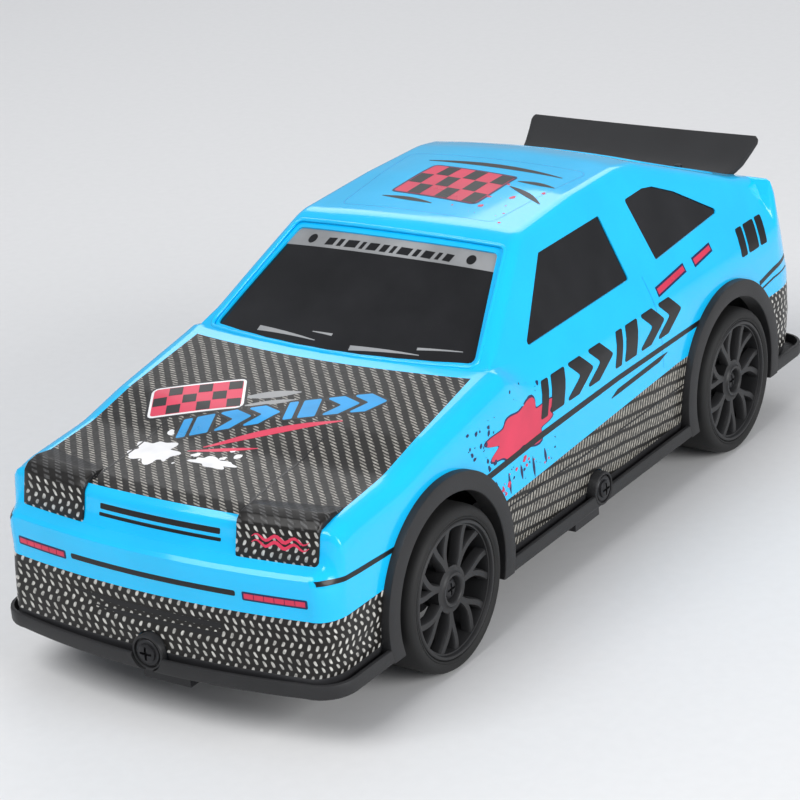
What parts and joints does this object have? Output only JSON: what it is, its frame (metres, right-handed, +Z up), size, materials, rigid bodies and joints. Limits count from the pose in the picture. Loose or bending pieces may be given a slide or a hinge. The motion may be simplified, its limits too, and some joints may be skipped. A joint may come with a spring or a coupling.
{
  "type": "remote control car",
  "caption": "Small remote-controlled car: a glossy moulded body on a screwed skirt, four driven wheels, and front wheels steered by a servo and rack.",
  "frame": {"origin": "on the ground under the middle of the car's length and width", "axes": "+Z up, front faces -Y, +X is the car's left side"},
  "size_m": [0.0748, 0.1856, 0.0665],
  "materials": {
    "shell_blue": "glossy",
    "glazing": "glossy",
    "trim_black": "fine moulded texture",
    "screw_black": "black oxide",
    "chassis_black": "fine moulded texture",
    "steel": "ground",
    "bronze": "turned",
    "gear_white": "moulded nylon",
    "motor_steel": "plated",
    "motor_cap": "moulded",
    "battery_wrap": "heat-shrunk film",
    "board_green": "solder mask",
    "component_black": "moulded",
    "switch_red": "moulded",
    "rim_grey": "satin",
    "tyre_rubber": "smooth rubber"
  },
  "bodies": {
    "chassis": {"body_shell": "shell_blue", "windscreen_panel": "glazing", "rear_window_panel": "glazing", "side_window_panels": "glazing", "skirt_frame": "trim_black", "body_screws": "screw_black", "rear_spoiler": "trim_black", "spoiler_screws": "screw_black", "chassis_tray": "chassis_black", "front_gearbox_cover": "chassis_black", "rear_gearbox_cover": "chassis_black", "chassis_screws": "steel", "plain_bushes": "bronze", "motor_can": "motor_steel", "motor_end_cap": "motor_cap", "motor_clamp": "chassis_black", "front_upper_bridge": "chassis_black", "kingpins": "steel", "servo_case": "motor_cap", "servo_screws": "steel", "battery_pack": "battery_wrap", "circuit_board": "board_green", "board_components": "component_black", "board_screws": "steel", "power_switch_case": "motor_cap"},
    "rear_axle": {"rear_axle_shaft": "steel", "rear_crown_gear": "gear_white", "rear_left_rim": "rim_grey", "rear_left_tyre": "tyre_rubber", "rear_left_wheel_screw": "screw_black", "rear_right_rim": "rim_grey", "rear_right_tyre": "tyre_rubber", "rear_right_wheel_screw": "screw_black"},
    "front_axle": {"front_drive_shaft": "steel", "front_crown_gear": "gear_white"},
    "knuckle_left": {"knuckle_left": "chassis_black", "knuckle_bush_left": "bronze"},
    "knuckle_right": {"knuckle_right": "chassis_black", "knuckle_bush_right": "bronze"},
    "wheel_front_left": {"wheel_axle_left": "steel", "front_left_rim": "rim_grey", "front_left_tyre": "tyre_rubber", "front_left_wheel_screw": "screw_black"},
    "wheel_front_right": {"wheel_axle_right": "steel", "front_right_rim": "rim_grey", "front_right_tyre": "tyre_rubber", "front_right_wheel_screw": "screw_black"},
    "steering_rack": {"steering_rack": "chassis_black"},
    "servo_arm": {"servo_arm": "gear_white"},
    "drive_shaft": {"centre_shaft": "steel", "shaft_pinions": "bronze", "spur_gear": "gear_white"},
    "motor_rotor": {"motor_shaft": "steel", "motor_pinion": "bronze"},
    "battery_door": {"battery_door": "chassis_black", "battery_door_screw": "screw_black"},
    "power_switch_knob": {"power_switch_knob": "switch_red"}
  },
  "joints": [
    {"name": "steer_left", "type": "hinge", "parent": "chassis", "child": "knuckle_left", "pos_m": [0.025, -0.0526, 0.0151], "axis": [0, 0, 1], "range_deg": [-20, 20]},
    {"name": "steer_right", "type": "hinge", "parent": "chassis", "child": "knuckle_right", "pos_m": [-0.025, -0.0526, 0.0151], "axis": [0, 0, 1], "range_deg": [-20, 20]},
    {"name": "rack_slide", "type": "slide", "parent": "chassis", "child": "steering_rack", "axis": [1, 0, 0], "range_m": [-0.0031, 0.0031]},
    {"name": "servo_turn", "type": "hinge", "parent": "chassis", "child": "servo_arm", "pos_m": [0, -0.0346, 0.0215], "axis": [0, 0, 1], "range_deg": [-25, 25]},
    {"name": "rear_axle_spin", "type": "hinge", "parent": "chassis", "child": "rear_axle", "pos_m": [0, 0.0554, 0.0151], "axis": [1, 0, 0], "continuous": true},
    {"name": "front_axle_spin", "type": "hinge", "parent": "chassis", "child": "front_axle", "pos_m": [0, -0.0526, 0.0151], "axis": [1, 0, 0], "continuous": true},
    {"name": "front_left_spin", "type": "hinge", "parent": "knuckle_left", "child": "wheel_front_left", "pos_m": [0.025, -0.0526, 0.0151], "axis": [1, 0, 0], "continuous": true},
    {"name": "front_right_spin", "type": "hinge", "parent": "knuckle_right", "child": "wheel_front_right", "pos_m": [-0.025, -0.0526, 0.0151], "axis": [1, 0, 0], "continuous": true},
    {"name": "drive_shaft_spin", "type": "hinge", "parent": "chassis", "child": "drive_shaft", "pos_m": [0, 0, 0.0151], "axis": [0, 1, 0], "continuous": true},
    {"name": "motor_spin", "type": "hinge", "parent": "chassis", "child": "motor_rotor", "pos_m": [0.009, 0, 0.0151], "axis": [0, 1, 0], "continuous": true},
    {"name": "battery_door_swing", "type": "hinge", "parent": "chassis", "child": "battery_door", "pos_m": [-0.0129, -0.0276, 0.00565], "axis": [-1, 0, 0], "range_deg": [0, 70]},
    {"name": "power_switch_slide", "type": "slide", "parent": "chassis", "child": "power_switch_knob", "axis": [0, 1, 0], "range_m": [0, 0.0024]}
  ],
  "couplings": [
    {"joint": "steer_right", "follows": "steer_left", "ratio": 1},
    {"joint": "rack_slide", "follows": "steer_left", "m_per_rad": -0.008818},
    {"joint": "servo_turn", "follows": "steer_left", "ratio": -1.229},
    {"joint": "front_axle_spin", "follows": "rear_axle_spin", "ratio": 1},
    {"joint": "front_left_spin", "follows": "rear_axle_spin", "ratio": 1},
    {"joint": "front_right_spin", "follows": "rear_axle_spin", "ratio": 1},
    {"joint": "drive_shaft_spin", "follows": "rear_axle_spin", "ratio": 2},
    {"joint": "motor_spin", "follows": "rear_axle_spin", "ratio": -7}
  ]
}
